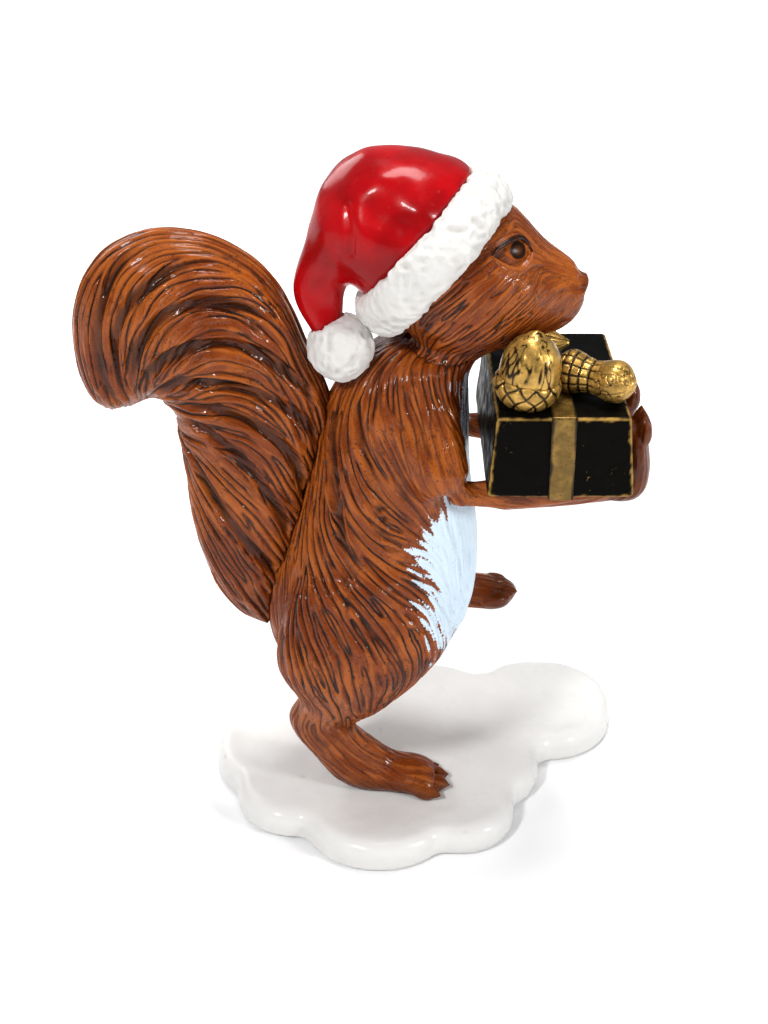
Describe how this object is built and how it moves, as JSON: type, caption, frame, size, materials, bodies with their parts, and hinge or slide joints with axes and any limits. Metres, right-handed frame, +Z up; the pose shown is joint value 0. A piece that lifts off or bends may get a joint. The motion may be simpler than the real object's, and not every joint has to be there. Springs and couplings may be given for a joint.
{
  "type": "squirrel figurine",
  "caption": "Standing resin squirrel in a pompom hat, striding on one leg over a patch of snow and carrying a ribboned gift box of nuts.",
  "frame": {"origin": "on the surface that the figure stands on, under its hips, on the middle pad", "axes": "+X is the way the figure faces, +Z is up, and the XZ plane is the mid-plane of its body"},
  "size_m": [0.2218, 0.1351, 0.2871],
  "materials": {
    "fur": "painted cast resin, varnished, dark wash in the carved fur",
    "snow": "painted cast resin, satin white",
    "hat_red": "painted cast resin, varnished red",
    "hat_white": "painted cast resin, rough white fur",
    "box_black": "painted cast resin, black with gold rubbed on its edges",
    "old_gold": "antique gold paint with a black wash",
    "steel": "plain steel",
    "foam": "foam rubber"
  },
  "bodies": {
    "root": {"snow_base": "snow", "base_pads": "foam", "leg_rod": "steel", "right_hind_leg": "fur", "left_hind_leg": "fur", "left_leg_dowel": "steel", "torso": "fur", "tail": "fur", "tail_dowels": "steel", "head": "fur", "neck_dowel": "steel", "hat_trim": "hat_white", "hat_crown": "hat_red", "hat_pompom": "hat_white", "gift_box": "box_black", "gift_ribbon": "old_gold", "right_arm": "fur", "left_arm": "fur", "arm_dowels": "steel", "acorn_nut": "old_gold", "acorn_cup": "old_gold", "peanut": "old_gold", "hazelnut": "old_gold"}
  },
  "joints": []
}
